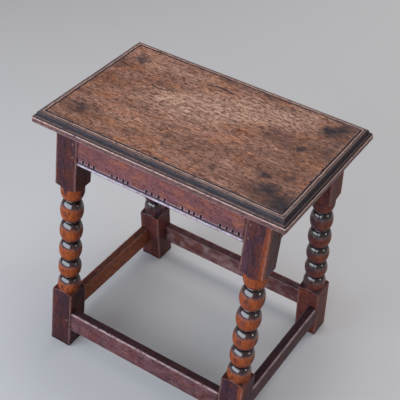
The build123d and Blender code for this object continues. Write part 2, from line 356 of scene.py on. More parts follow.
def cathedral(tree, grain, seed, colour, height):
    # flat-sawn figure: growth rings cut as long nested arches
    atX, atY = splitXyz(grain)[:2]
    swerve = (stretched(grain, 0.11, 0.05, seed + 2.2, 4, 0.5) * 2 - 1) * seatFigure["waver"]
    across = atY - seatFigure["middle"] + swerve
    along = (atX - seatFigure["tip"]) * seatFigure["flatten"]
    ring = reckon("FRACT", root(across * across + along * along) / seatFigure["spacing"])
    broken = smoothStep(stretched(grain, 0.014, 0.0012, seed + 6.1, 3, 0.6), 0.35, 0.62)
    line = reckon("POWER", ring, 3) * broken
    colour = blendColour(line * 0.85, colour, seatFigure["lineColour"], "MULTIPLY")
    colour = blendColour(readOak(tree, "edge"), colour, seatFigure["edgeColour"])
    return colour, height - line * 0.5


seatLook = {
    "light": (0.60, 0.325, 0.235), "dark": (0.31, 0.15, 0.108), "warm": (0.65, 0.265, 0.115),
    "warmShare": 0.8, "bright": (0.72, 0.46, 0.34), "deep": (0.085, 0.034, 0.020), "waver": 0.018,
    "streak": (0.34, 0.235, 0.21), "streakShare": 0.65, "mottleShare": 1.0, "soilShare": 0.6,
    "veinShare": 0.35, "raw": (0.22, 0.14, 0.09), "rubbed": (0.64, 0.44, 0.40),
    "grimeAndShade": (0.014, 0.012, 0.020), "pore": (0.05, 0.025, 0.02), "poreShare": 0.8, "poreEdge": 0.56,
    "fleckShare": 0.85, "roughness": 0.46, "polishChange": -0.12, "specular": 0.28, "coat": 0.0,
    "coatRoughness": 0.25, "coatIor": 1.5, "bump": 0.65,
}
# the purple cast of the legs', aprons' and stretchers' light and dark colours is a painted bluish sheen
legLook = dict(
    seatLook, waver=0.004,
    light=(0.100, 0.043, 0.058), dark=(0.041, 0.020, 0.029), warm=(0.16, 0.042, 0.026),
    bright=(0.39, 0.086, 0.020), deep=(0.042, 0.013, 0.010), streak=(0.5, 0.4, 0.38),
    streakShare=0.4, mottleShare=0.5, soilShare=0.35, veinShare=0.3, raw=(0.10, 0.055, 0.035),
    rubbed=(0.34, 0.17, 0.14), grimeAndShade=(0.006, 0.005, 0.007), pore=(0.012, 0.006, 0.006),
    poreEdge=0.57, fleckShare=0.8, roughness=0.4, polishChange=-0.1,
    specular=0.05, coat=0.05, coatRoughness=0.15, coatIor=1.85, bump=0.35,
)
apronLook = dict(
    legLook, waver=0.006, light=(0.22, 0.084, 0.090), dark=(0.125, 0.053, 0.066), warm=(0.34, 0.112, 0.060),
    bright=(0.34, 0.14, 0.11), deep=(0.040, 0.020, 0.028), raw=(0.14, 0.085, 0.055),
    # the aprons' pale bluish rubbed colour is a painted highlight
    rubbed=(0.62, 0.56, 0.66), grimeAndShade=(0.012, 0.008, 0.012), roughness=0.42, coat=0.08,
    coatRoughness=0.2, coatIor=1.6, mottleShare=0.35, streakShare=0.35, soilShare=0.25,
)
stretcherLook = dict(
    apronLook, light=(0.180, 0.074, 0.088), dark=(0.080, 0.034, 0.041), warm=(0.21, 0.065, 0.048),
    bright=(0.46, 0.135, 0.045), rubbed=(0.50, 0.36, 0.36), roughness=0.45, coat=0.02, specular=0.08,
    mottleShare=0.7, soilShare=0.5,
)
pegLook = dict(
    legLook, light=(0.12, 0.055, 0.052), dark=(0.05, 0.025, 0.028), warm=(0.14, 0.05, 0.04),
    roughness=0.45, coat=0.1,
)
oakSeat = oakMaterial("oakSeat", seatLook, cathedral)
oakLegs = oakMaterial("oakLegs", legLook)
oakAprons = oakMaterial("oakAprons", apronLook)
oakStretchers = oakMaterial("oakStretchers", stretcherLook)
oakPegs = oakMaterial("oakPegs", pegLook)
print("oak finishes ready")


def markPoints(mesh, word, values):
    # stores a number or a vector of three on each point
    values = np.array(values, float)
    kind, key = ("FLOAT_VECTOR", "vector") if values.ndim == 2 else ("FLOAT", "value")
    mesh.attributes.new(word, kind, "POINT").data.foreach_set(key, values.ravel())


def oakMesh(name, points, faces, grain, stick, material, **marks):
    mesh = bpy.data.meshes.new(name)
    mesh.from_pydata([tuple(p) for p in points], [], faces)
    for word, values in {"grain": grain, **marks, "stick": np.full(len(points), stick)}.items():
        markPoints(mesh, word, values)
    mesh.materials.append(material)
    work = bmesh.new()
    work.from_mesh(mesh)
    bmesh.ops.recalc_face_normals(work, faces=work.faces)
    work.to_mesh(mesh)
    work.free()
    return mesh


def tubeFaces(rings, around):
    # faces between rings of points that follow one another
    return [
        (low + i, low + (i + 1) % around, low + around + (i + 1) % around, low + around + i)
        for low in range(0, (rings - 1) * around, around) for i in range(around)
    ]


def roughen(point, size, seed):
    # smooth random number, mostly between -0.5 and 0.5, with features of about this size
    return noise.noise(Vector(point) / size + Vector((seed, 3.7 * seed, 1.3)))


def noiseOver(points, size, seed, stretch):
    return np.array([roughen(point, size, seed) for point in points * stretch])


def arcPoints(centre, radius, start, end, count):
    turns = [math.radians(start + (end - start) * i / count) for i in range(count + 1)]
    return [(centre[0] + radius * math.cos(t), centre[1] + radius * math.sin(t)) for t in turns]


board = {
    "edgeHeight": 9.5 * mm,         # upright face under the moulding
    "lipRound": 0.9 * mm,
    "step": 2.6 * mm,
    "filletRise": 3.0 * mm,
    "filletWidth": 3.6 * mm,
    "ovoloWidth": 4.8 * mm,
    "quirk": (11.9 * mm, 1.5 * mm, 0.9 * mm),      # inset, width and depth of a scratched line
    "groove": (16.9 * mm, 4.0 * mm, 1.7 * mm),
    "wobble": 0.65 * mm,            # how far a scratched line strays
    "crest": (0.2, 0.9, 1, 0.9, 0.2),               # pale rub and painted highlight round the upper half of the lip
    # turn in degrees, dirt with painted shade, and rub with painted highlight of each ring of the ovolo
    "ovolo": (
        (14, 1, 0), (28, 0.9, 0), (42, 0.8, 0), (56, 0.7, 0), (68, 0.6, 0.1), (79, 0.4, 0.3)),
    "polishInset": 10.3 * mm,
    # painted shade on the ends' and the back's moulding, painted light on the front's
    "endPaintedShade": -0.6, "frontPaintedLight": 0.15, "backPaintedShade": -0.3,
    "cell": 1.7 * mm,
    "wear": 0.5 * mm,
    "cornerRound": 3.0 * mm,
    "hollow": 0.4 * mm,             # worn into the middle of the seat
    "hollowReach": (140 * mm, 75 * mm),
    "gougeWidth": 2.4 * mm,
    "gougeDepth": 1.0 * mm,
    # middle X, middle Y, half length, half width, darkness, all but the last in mm
    "stains": (
        (-187, 93, 17, 15, 0.75), (-206, 62, 12, 14, 0.45), (-186, -89, 20, 16, 0.7),
        (-160, -72, 17, 12, 0.45), (180, 97, 22, 16, 0.95), (198, 112, 19, 12, 0.8),
        (176, -97, 21, 17, 0.9), (152, -68, 10, 9, 0.95), (162, 27, 9, 8, 0.9), (74, -96, 8, 7, 0.6),
        (55, 127, 12, 7, 0.75), (-20, 121, 18, 8, 0.45), (193, -54, 13, 15, 0.6),
        (212, -116, 26, 30, 0.85), (205, -132, 34, 12, 0.8), (125, 22, 32, 9, 0.45),
        (108, 46, 16, 12, 0.45),
        (-22, -12, 26, 5, 0.35), (-118, 52, 16, 4, 0.4), (214, 60, 10, 40, 0.5), (-40, -45, 30, 5, 0.3),
        (40, -70, 24, 5, 0.3), (112, -20, 30, 7, 0.35), (20, 118, 24, 6, 0.4), (100, 108, 30, 7, 0.35),
    ),
    # middle X and Y, half length and half width in mm, turn in degrees, tone
    "zones": (
        (20, 56, 150, 44, 22, 0.85), (-60, 10, 100, 50, 8, 0.5), (-195, 0, 48, 120, 0, -0.12),
        (175, 10, 75, 130, 0, -0.36), (120, -105, 110, 38, 0, -0.18), (-30, -75, 150, 40, 6, 0.16),
        (205, 118, 42, 30, 0, -0.45), (208, -120, 45, 32, 0, -0.7), (-190, -110, 60, 30, 0, -0.2),
        (-120, 96, 95, 34, 0, 0.5), (130, 88, 60, 36, 0, 0.5),
    ),
    # strength, then the points along each, in mm
    "gouges": (
        (0.8, ((-50.8, 92.9), (-42, 97.5), (-32, 99.5), (-18, 98), (-3, 94))),
        (0.3, ((190, 45), (197, 57), (204, 69))),
        (0.5, ((-128, 38), (-112, 33), (-98, 38), (-90, 46))),
    ),
}


boardNoise = {
    # size of the features, seed, and how each axis counts
    "near": (9 * mm, 4, (1, 1, 1)), "far": (34 * mm, 9, (1, 1, 1)), "slow": (60 * mm, 2, (1, 1, 0)),
    "small": (20 * mm, 6, (1, 3, 0)), "dents": (11 * mm, 8, (1, 1, 0)),
}


def scratchedLine(line, top):
    inset, width, depth = line
    # dark down the line: dirt with painted shade; pale on its lips: rub with painted highlight
    shape = ((-0.5, 0, 0, 0.5), (-0.3, 0.7, 1, 0), (0, 1, 1, 0), (0.3, 0.7, 1, 0), (0.5, 0, 0.2, 0.5))
    return [(inset + width * a, top - depth * b, 0, dirt, rub, 0.1) for a, b, dirt, rub in shape]


def boardRings():
    # inset from the edge, height above the underside, wear, dirt with painted shade, rub with painted
    # highlight, tone with painted shade
    thick = boardHigh.z - boardLow.z
    lip = board["lipRound"]
    edge = board["edgeHeight"]
    step = board["step"]
    fillet = edge + board["filletRise"]
    inner = step + board["filletWidth"]
    rings = [(9 * mm, 0, 0, 0.2, 0, 0), (3 * mm, 0, 0, 0.2, 0, 0)]
    rings += [(lip - x, lip + z, 0.3, 0, 0.3, -0.5) for x, z in arcPoints((0, 0), lip, -90, 0, 3)]
    rings += [(0, edge * share, 0.3, 0.05, 0.05, -0.5) for share in (0.3, 0.5, 0.7)]
    rings += [
        (lip - x, edge - lip + z, 1, 0, rub, 0.2 * rub)
        for rub, (x, z) in zip(board["crest"], arcPoints((0, 0), lip, 0, 90, 4))]
    # painted shade in the step's and the fillet's inner corners and on the riser, a painted highlight on
    # the fillet's arris
    rings += [
        (lip + 0.2 * mm, edge, 0.7, 0.2, 0, -0.6), (step * 0.6, edge, 0.4, 0.5, 0, -0.7),
        (step * 0.85, edge, 0.2, 0.7, 0, -0.7), (step, edge, 0, 1, 0, -1),
        (step + 0.2 * mm, fillet - 0.7 * mm, 0.3, 0.7, 0, -0.8),
        (step + 0.7 * mm, fillet - 0.1 * mm, 0.6, 0.1, 0.15, -0.5),
        ((step + inner) / 2, fillet, 0, 0.5, 0.1, -0.6), (inner - 0.4 * mm, fillet - 0.2 * mm, 0, 1, 0, -1),
        (inner, fillet, 0, 1, 0, -1),
    ]
    # painted shade over the ovolo, with a painted highlight towards its shoulder
    for turn, dirt, rub in board["ovolo"]:
        rise = math.sin(math.radians(turn)) ** 0.85
        run = 1 - math.cos(math.radians(turn)) ** 0.75
        rings.append((
            inner + board["ovoloWidth"] * run, fillet + (thick - fillet) * rise, 0.25, dirt, rub, -0.9))
    rings += [(inner + board["ovoloWidth"], thick, 0.25, 0.3, 0.4, -0.3)]
    rings += scratchedLine(board["quirk"], thick)
    # the ridge between the quirk and the groove: bright, with pale rub and painted highlight
    middle = (board["quirk"][0] + board["groove"][0]) / 2
    rings += [(middle + shift * mm, thick, 0.1, 0, 0.4, 0.5) for shift in (-1.1, -0.6, 0, 0.4)]
    rings += scratchedLine(board["groove"], thick)
    rings += [(19.2 * mm, thick, 0, 0.1, 0, 0)]
    return rings


def boardMesh():
    # points, faces and the wear, dirt and painted shade, rub and painted highlight, and tone of each point,
    # before anything has worn it
    countX, countY = (round(2 * half / board["cell"]) for half in boardHigh[:2])
    border = [(i, 0) for i in range(countX)] + [(countX, j) for j in range(countY)]
    border += [(countX - i, countY - j) for i, j in border]
    points = []
    marks = []

    def addPoint(i, j, inset, height, mark):
        x, y = boardHigh.x - inset, boardHigh.y - inset
        points.append((-x + 2 * x * i / countX, -y + 2 * y * j / countY, boardLow.z + height))
        marks.append(mark)

    rings = boardRings()
    for inset, height, *mark in rings:
        for i, j in border:
            addPoint(i, j, inset, height, mark)
    faces = tubeFaces(len(rings), len(border))
    faces.append(tuple(range(len(border))))
    # a grid fills the last ring
    start = len(points) - len(border)
    number = {spot: start + place for place, spot in enumerate(border)}
    for j in range(1, countY):
        for i in range(1, countX):
            number[i, j] = len(points)
            addPoint(i, j, rings[-1][0], rings[-1][1], (0, 0, 0, 0))
    faces += [
        (number[i, j], number[i + 1, j], number[i + 1, j + 1], number[i, j + 1])
        for j in range(countY) for i in range(countX)
    ]
    return np.array(points), faces, np.array(marks, float)


def gougeCuts(plain):
    # how deeply each point lies in one of the old gouges, from 0 to 1
    cuts = []
    for strength, path in board["gouges"]:
        for start, end in zip(path, path[1:]):
            start, end = np.array(start) * mm, np.array(end) * mm
            run = end - start
            along = np.clip(((plain[:, :2] - start) @ run) / (run @ run), 0, 1)
            away = np.linalg.norm(plain[:, :2] - start - along[:, None] * run, axis=1)
            cuts.append(np.clip(1 - (away / board["gougeWidth"]) ** 2, 0, 1) * strength)
    return cuts


def roundCorners(points):
    # draws the board's four upright corners in to an arc
    inner = np.array(boardHigh[:2]) - board["cornerRound"]
    over = np.maximum(np.abs(points[:, :2]) - inner, 0)
    corner = (over > 0).all(axis=1)
    shrink = over.max(axis=1) / np.maximum(np.hypot(over[:, 0], over[:, 1]), 1e-9)
    drawn = np.sign(points[:, :2]) * (inner + over * shrink[:, None])
    points[corner, :2] = drawn[corner]


def buildBoard():
    plain, faces, marks = boardMesh()
    shaped = plain.copy()
    underTop = boardHigh.z - plain[:, 2]
    toX = boardHigh.x - np.abs(plain[:, 0])
    toY = boardHigh.y - np.abs(plain[:, 1])
    toEdge = np.minimum(toX, toY)
    nearX = toX < toY + 2 * mm
    nearY = toY < toX + 2 * mm
    near, far, slow, small, dents = (noiseOver(plain, *values) for values in boardNoise.values())
    gone = np.maximum(board["wear"] * marks[:, 0] * (0.7 + 1.3 * near + 0.9 * far), 0)
    scratched = (toEdge > 10 * mm) & (underTop < 2 * mm) & (toEdge < 19 * mm)
    stray = board["wobble"] * (near + far) * scratched
    for axis, close in ((0, nearX), (1, nearY)):
        shaped[:, axis] -= np.sign(plain[:, axis]) * (gone + stray) * close
    raised = plain[:, 2] > boardLow.z + 0.8 * board["edgeHeight"]
    shaped[:, 2] -= 0.8 * gone * raised
    shaped[:, 2] += underTop * scratched * np.clip(0.25 - 1.1 * near, 0, 0.7)     # shallow stretches

    onTop = underTop < 3 * mm
    wide, deep = board["hollowReach"]
    bowl = board["hollow"] * np.exp(-(plain[:, 0] / wide) ** 2 - (plain[:, 1] / deep) ** 2)
    sunk = bowl + 0.3 * mm * (0.6 - slow) + 0.09 * mm * (0.6 - small)
    sunk += 0.5 * mm * np.maximum(dents - 0.28, 0)
    shaped[:, 2] -= onTop * sunk * np.clip(toEdge / (20 * mm), 0, 1)

    # the marks of use on the field, with ragged borders
    x = plain[:, 0] / mm + 9 * near + 16 * slow
    y = plain[:, 1] / mm + 7 * far + 6 * dents
    inside = np.clip((toEdge - 17 * mm) / (3 * mm), 0, 1) * onTop
    dirt = marks[:, 1].copy()
    for middleX, middleY, long, wide, dark in board["stains"]:
        away = np.hypot((x - middleX) / long, (y - middleY) / wide)
        dirt = np.maximum(dirt, dark * inside * np.clip(1.2 - 0.85 * away, 0, 1))
    tone = marks[:, 3].copy()
    for middleX, middleY, long, wide, turn, value in board["zones"]:
        cosine, sine = math.cos(math.radians(turn)), math.sin(math.radians(turn))
        u = ((x - middleX) * cosine + (y - middleY) * sine) / long
        v = ((y - middleY) * cosine - (x - middleX) * sine) / wide
        tone += value * np.clip(1.5 - 1.25 * np.hypot(u, v), 0, 1) * onTop
    for cut in gougeCuts(plain):
        shaped[:, 2] -= board["gougeDepth"] * cut * inside
        dirt = np.maximum(dirt, np.minimum(1.4 * cut * inside, 1))
    roundCorners(shaped)
    # painted shade and light on the moulding: the ends' is darker than the front one's
    edgeLightAndShade = np.where(plain[:, 1] < 0, board["frontPaintedLight"], board["backPaintedShade"])
    edgeLightAndShade = np.where(nearX, board["endPaintedShade"], edgeLightAndShade)
    outside = (1 - np.clip((toEdge - 14 * mm) / (4 * mm), 0, 1)) * (underTop < 11 * mm)
    tone += edgeLightAndShade * outside
    polished = np.abs(toEdge - board["polishInset"]) < 1.1 * mm
    mesh = oakMesh(
        "seatBoard", shaped, faces, plain, 1, oakSeat, dirt=dirt, rub=marks[:, 2],
        tone=np.clip(tone, -1, 1), raw=plain[:, 2] < boardLow.z + 0.1 * mm,
        polish=np.where(polished, 0.8, 0.1), edge=np.clip((underTop / mm - 11) / 1.5, 0, 1),
    )
    return newPiece("seatBoard", mesh)


finishPiece(buildBoard(), "oak_seat", "seat_board")


leg = {
    "Upper Block": 119.3 * mm, "Lower Block": 121 * mm, "Shoulder Drop": 2.5 * mm,
    "Collar": 10.8 * mm, "Half Bobbin": 20 * mm,
    "Base Seat": 8.7 * mm,          # widest ring of the last bobbin above the lower block
    "Base Underside": 14 * mm,      # half height of its underside, if the block didn't cut it
    "Bobbins": 4.0, "Step": 1.8 * mm, "Bobbin Radius": 21.4 * mm, "Neck Radius": 10.5 * mm,
    "Corner Wear": 2.4 * mm, "Dents": 0.28 * mm, "Foot Bevel": 2.2 * mm,
    "Around": 112, "Down": 640,
}
legFinish = {
    # tone of the turning, tone of the blocks, tone added along the outer arris
    "front_left": (0.0, -0.25, 0.1), "front_right": (-0.1, 0.0, 0.6), "back_left": (-0.6, 0.15, 0.4),
    "back_right": (-0.5, 0.2, 0.3),
}


legMarks = {
    # from -1 at the neck above a bobbin over 0 at its widest to 1 at the neck below:
    # where each of these starts and ends
    # dirt and painted shade in the necks; painted shade over the upper part of each bobbin, lighter below,
    # and darker towards the next neck
    "upperHollow": (-0.80, -0.97), "lowerHollow": (0.90, 0.985), "brightens": (-0.80, -0.32),
    "darkens": (0.35, 0.95), "dulls": (-0.65, -0.15),
    # how nearly a point faces the way of the outer corner, at most 1.414; the side turned away gets painted
    # shade
    "handled": (1.345, 1.408), "shadedSide": (0.2, -1.3),
}


def legTree():
    ownNumbers = ("Size", "Length", "Lean", "Seed", "Tone", "Block Tone", "Handled")
    tree, given = newTree("turnedLeg", leg | dict.fromkeys(ownNumbers, 0.0), {
        "Worn Corner": ("Vector", None), "Move": ("Vector", None), "Turn": ("Rotation", None),
    })
    seed, length, wear, drop, halfBobbin = (
        given[title] for title in ("Seed", "Length", "Corner Wear", "Shoulder Drop", "Half Bobbin"))
    stick = addNode(
        tree, "GeometryNodeMeshCylinder",
        {"Vertices": given["Around"], "Side Segments": given["Down"], "Radius": 1, "Depth": 1}, "Mesh",
        fill_type="NGON",
    )
    atX, atY, atZ = splitXyz(addNode(tree, "GeometryNodeInputPosition"))
    down = (0.5 - atZ) * length
    # the points crowd towards the four corners, where the arrises are
    angle = reckon("ARCTAN2", atY, atX)
    angle = reckon("SINE", angle * 4) * 0.12 + angle
    cosine = reckon("COSINE", angle)
    sine = reckon("SINE", angle)
    half = given["Size"] * 0.5
    place = joinXyz(cosine, sine, down * 30)
    wearNoise = cloud(reckonVector("MULTIPLY", place, (1.4, 1.4, 1)), seed, 1.2, 3)
    toX, toY = (half / larger(abs(share), 0.01) for share in (cosine, sine))
    square = reckon("SMOOTH_MIN", toX, toY, wear * (wearNoise * 1.8 + 0.2))

    # the turned outline, from the upper block down
    collarTop = given["Upper Block"] + drop
    firstNeck = collarTop + given["Collar"] + halfBobbin
    baseTop = length - (given["Lower Block"] + drop)
    baseMiddle = baseTop - given["Base Seat"]
    lastNeck = baseMiddle - halfBobbin
    run = lastNeck - firstNeck
    # bobbins shrink evenly down the leg, so their count above a point is a square root
    bend = given["Step"] * 0.5
    pace = run / given["Bobbins"] + bend * given["Bobbins"]
    into = smaller(larger(down - firstNeck, 0), run)
    whole = (pace - root(pace * pace - bend * 4 * into)) / (bend * 2)
    above = smaller(larger(firstNeck - down, 0) / halfBobbin, 1)
    below = smaller(larger(down - lastNeck, 0) / halfBobbin, 1)
    below = below + larger((down - baseMiddle) / given["Base Underside"], 0)
    phase = whole - above * 0.5 + below * 0.5 + 8
    swing = reckon("FRACT", phase) * 2 - 1     # -1 and 1 at the necks
    rise = root(larger(1 - swing * swing, 0))
    bobbin = seed * 20 + reckon("FLOOR", phase)
    bulge = (given["Bobbin Radius"] - given["Neck Radius"]) * randomField(0.93, 1.0, bobbin, 3)
    turned = bulge * rise + given["Neck Radius"]
    # shoulders: a cone opens from the turning to past the square's corners
    slope = (half * 1.46 - given["Bobbin Radius"]) / drop
    cone = larger(larger((collarTop - down) * slope, (down - baseTop) * slope), 0)
    opened = turned + cone
    squareOver = square - opened
    isTurned = smoothStep(squareOver, -0.5 * mm, 1.5 * mm)
    isBlock = 1 - isTurned

    radius = reckon("SMOOTH_MIN", square, opened, wear * 0.3)
    radius = radius - cloud(place, seed + 5, 1.6, 4) * given["Dents"]
    toFloor = length - down
    bevel = larger(given["Foot Bevel"] - toFloor, 0)
    radius = radius - bevel * (wearNoise * 1.4 + 0.3)
    x = radius * cosine
    y = radius * sine
    # level cuts at both ends: the blocks shear along the leg, the turning doesn't
    endTop = (given["Upper Block"] - down) / given["Upper Block"]
    endFoot = (down - (length - given["Lower Block"])) / given["Lower Block"]
    z = (y + half) * reckon("TANGENT", given["Lean"]) * larger(larger(endTop, endFoot), 0) - down

    # where the finish is dirty or painted in shade, rubbed or painted with highlights, bright or polished
    # dirt and painted shade in the necks
    hollow = larger(
        smoothStep(swing, *legMarks["upperHollow"]), smoothStep(swing, *legMarks["lowerHollow"]))
    crease = smoothStep(cone, 0.2 * mm, 2.5 * mm) * smoothStep(squareOver, 0, 4 * mm)
    dirt = larger(hollow * isTurned, crease * 0.7)
    dirt = larger(dirt, smoothStep(toFloor, 14 * mm, 0.0) * 0.6)
    # pale rub and painted highlights along the blocks' arrises and round the shoulders' rims
    arris = smoothStep(abs(reckon("SINE", angle * 2)), 0.982, 0.999) * isBlock
    rim = smoothStep(abs(squareOver), 2.2 * mm, 0.0) * smoothStep(cone, 0.5 * mm, 3 * mm)
    rub = larger(arris * 0.45, rim * 0.32)
    # painted shade with dark wax: dark from the hollow over the upward-facing upper part, light on the
    # rubbed round, and darker again towards the next hollow
    ragged = cloud(place, seed + 9, 2.4, 3) - 0.5
    brightens = smoothStep(ragged * 0.5 + swing, *legMarks["brightens"])
    darkens = smoothStep(ragged * 0.4 + swing, *legMarks["darkens"])
    dulls = smoothStep(ragged * 0.3 + swing, *legMarks["dulls"])
    # painted shadow under the upper block
    shadowUnderBlock = smoothStep(down - collarTop, 6 * mm, 1 * mm)
    facing = reckonVector("DOT_PRODUCT", given["Worn Corner"], joinXyz(cosine, sine, 0.0))
    # painted shade: darker towards the next hollow, under the upper block and on the side turned from the
    # worn corner
    low = larger(darkens * 0.65, shadowUnderBlock) + smoothStep(facing, *legMarks["shadedSide"]) * 0.5
    handled = smoothStep(facing, *legMarks["handled"]) * isBlock
    tone = (brightens * 1.9 - 0.9 + given["Tone"] - low) * isTurned
    tone = tone + given["Block Tone"] * isBlock + handled * given["Handled"]
    made = writeFields(
        stick, grain=joinXyz(z, x, y), stick=seed, dirt=dirt, rub=rub, tone=tone,
        polish=(0.9 - dulls * 0.85) * isTurned,
    )
    # the cylinder is shaped last, because all of the above is worked out from its first shape
    shaped = addNode(
        tree, "GeometryNodeSetPosition", {"Geometry": made, "Position": joinXyz(x, y, z)})
    placed = addNode(
        tree, "GeometryNodeTransform",
        {"Geometry": shaped, "Translation": given["Move"], "Rotation": given["Turn"]})
    return endTree(placed, given["Material"])


turnedLeg = legTree()
for number, (depth, side) in enumerate((d, s) for d in (-1, 1) for s in (-1, 1)):
    corner = ("front" if depth < 0 else "back") + "_" + ("left" if side < 0 else "right")
    sideways = side if depth < 0 else -side       # the back frame is the front one turned about
    place = leanMatrix(depth) @ Matrix.Translation((sideways * (legEndX - legSize / 2), legSize / 2, 0))
    piece = newPiece("turnedLeg_" + corner)
    runTree(piece, turnedLeg, leg | {
        "Size": legSize, "Length": legLength, "Lean": stool["splay"], "Seed": 2.0 + number,
        "Tone": legFinish[corner][0], "Block Tone": legFinish[corner][1],
        "Handled": legFinish[corner][2], "Worn Corner": (sideways, -1, 0),
        "Move": place.to_translation(), "Turn": place.to_euler(), "Material": oakLegs,
    })
    finishPiece(piece, "oak_legs", "leg_" + corner)


apron = {
    "setback": 1.0 * mm, "thick": 20 * mm, "depth": 68 * mm,
    "beadHeight": 6.5 * mm, "beadProud": 0.8 * mm, "quirk": 1.8 * mm, "quirkHeight": 2.6 * mm,
    "wear": 0.3 * mm, "beadWear": 2.2 * mm, "station": 2.2 * mm, "fineStation": 0.65 * mm,
    "tenonInset": 8 * mm, "tenonThick": 8 * mm, "tenonLow": 8 * mm, "tenonHigh": 56 * mm,
}
stretcher = {
    "setback": 0.8 * mm, "thick": 18.5 * mm, "endThick": 17 * mm, "depth": 39 * mm,
    "outerArris": 2.6 * mm, "arris": 1.3 * mm, "wear": 0.6 * mm, "station": 2.0 * mm,
    "tenonInset": 6 * mm, "tenonThick": 8 * mm, "tenonLow": 5 * mm, "tenonHigh": 34 * mm,
    "lift": 42 * mm, "endLift": 39 * mm,
}
outlineGap = 2.4 * mm
# lower edges: from the leg tops along a leaning frame, and from the floor at an end of the stool
railLow = {
    "apron": (-apron["depth"], frameTop - apron["depth"]),
    "stretcher": (stretcher["lift"] - legLength, stretcher["endLift"]),
}
# where the tenons end: X in a leaning frame, Y at an end of the stool
railEnd = {
    "apron": (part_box("apron_front")[1].x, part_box("apron_left")[1].y),
    "stretcher": (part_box("stretcher_front")[1].x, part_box("stretcher_left")[1].y),
}
railFinish = {
    # tone, and how far the whole rail is rubbed pale
    "stretcher_left": (0.65, 0.0), "stretcher_back": (0.1, 0.5), "stretcher_front": (0.0, 0.12),
    "stretcher_right": (-0.4, 0.1), "apron_front": (0.1, 0.0),
}


def filled(outline):
    # adds points, so that no two neighbours on the closed outline are further apart than the gap
    full = []
    for first, second in zip(outline, outline[1:] + outline[:1]):
        steps = max(1, math.ceil(math.dist(first[:2], second[:2]) / outlineGap))
        full += [
            tuple(a + (b - a) * i / steps for a, b in zip(first, second)) for i in range(steps)]
    return full


def apronOutline():
    # each point: inwards from the legs' face, up from the lower edge, dirt with painted shade, rub with
    # painted highlight, raw
    face = apron["setback"]
    quirk = face + apron["quirk"]
    back = face + apron["thick"]
    bead = apron["beadHeight"]
    arris = bead + apron["quirkHeight"]
    top = apron["depth"]
    bulge = apron["quirk"] + apron["beadProud"]
    radius = ((bead / 2) ** 2 + bulge ** 2) / (2 * bulge)
    spread = math.degrees(math.asin(bead / 2 / radius))
    crest = arcPoints((quirk - bulge + radius, bead / 2), radius, 180 + spread, 180 - spread, 12)
    # the bead: painted shade at its top and foot, a painted highlight across its upper front
    outline = [
        (x, z, 0.8 * abs(z / bead * 2 - 1) ** 3, max(0, 1 - abs(z / bead - 0.62) * 2.2), 0)
        for x, z in crest]
    # painted shade in the quirk, and a painted highlight with wear on the arris above it
    outline += [
        (quirk, bead + 0.4 * mm, 0.8, 0, 0), (quirk - 0.1 * mm, arris - 1.0 * mm, 0.5, 0, 0),
        (face + 0.5 * mm, arris - 0.2 * mm, 0.1, 0.3, 0), (face, arris + 0.3 * mm, 0, 0.8, 0),
        (face, arris + 1.2 * mm, 0, 0.2, 0),
    ]
    nickBand, bandSteps = 8 * mm, 9     # closer points where the nicks are cut
    outline += [
        (face, arris + 1.2 * mm + nickBand * i / bandSteps, 0, 0, 0) for i in range(1, bandSteps + 1)]
    outline += [
        (face, top - 3 * mm, 0.15, 0, 0), (face, top, 0.7, 0, 0), (back, top, 0.3, 0, 1),
        (back, 0, 0, 0, 1), (quirk + 2 * mm, 0, 0.3, 0, 0.6),
    ]
    return outline


def stretcherOutline(thick):
    face = stretcher["setback"]
    back = face + thick
    top = stretcher["depth"]
    outer, ease = stretcher["outerArris"], stretcher["arris"]
    # centre, radius, first angle, rub and dirt of each arris, then the dirt and points of the face
    # after it, which isn't rubbed; the outer top arris's full rub is wear with a painted highlight
    corners = (
        ((face + ease, ease), ease, 270, 0.35, 0.1, 0.05,
         ((face, ease + 1.5 * mm), (face, top - outer - 1.5 * mm))),
        ((face + outer, top - outer), outer, 180, 1.0, 0.0, 0.65,
         ((face + outer + 1.2 * mm, top), (face + thick * 0.5, top), (back - ease - 1 * mm, top))),
        ((back - ease, top - ease), ease, 90, 0.4, 0.35, 0.1,
         ((back, top - ease - 1.5 * mm), (back, ease + 1 * mm))),
        ((back - ease, ease), ease, 0, 0.1, 0.3, 0, ()),
    )
    outline = []
    for centre, radius, start, rub, dirt, faceDirt, between in corners:
        for number, (x, z) in enumerate(arcPoints(centre, radius, start, start - 90, 6)):
            middle = 1 - abs(number / 3 - 1)
            outline.append((x, z, dirt, rub * (0.35 + 0.65 * middle), 0.5 if z < 1 * mm else 0))
        outline += [(x, z, faceDirt, 0, 0) for x, z in between]
    return outline


def outwards(outline):
    # unit directions that point out of the closed outline
    flat = np.array([point[:2] for point in outline])
    run = np.roll(flat, -1, axis=0) - np.roll(flat, 1, axis=0)
    area = np.sum(flat[:, 0] * np.roll(flat[:, 1], -1) - flat[:, 1] * np.roll(flat[:, 0], -1))
    out = np.stack([run[:, 1], -run[:, 0]], 1) * (1 if area > 0 else -1)
    return out / np.linalg.norm(out, axis=1)[:, None]


def framePlace(side, low):
    matrix = leanMatrix(side)
    return lambda p: matrix @ Vector((p.x, p.y, low + p.z))


def endPlace(side, low):
    # side -1 is the left end; a rail's own X runs along the stool's Y there
    return lambda p: Vector((side * (legEndX - p.y), -side * p.x, low + p.z))


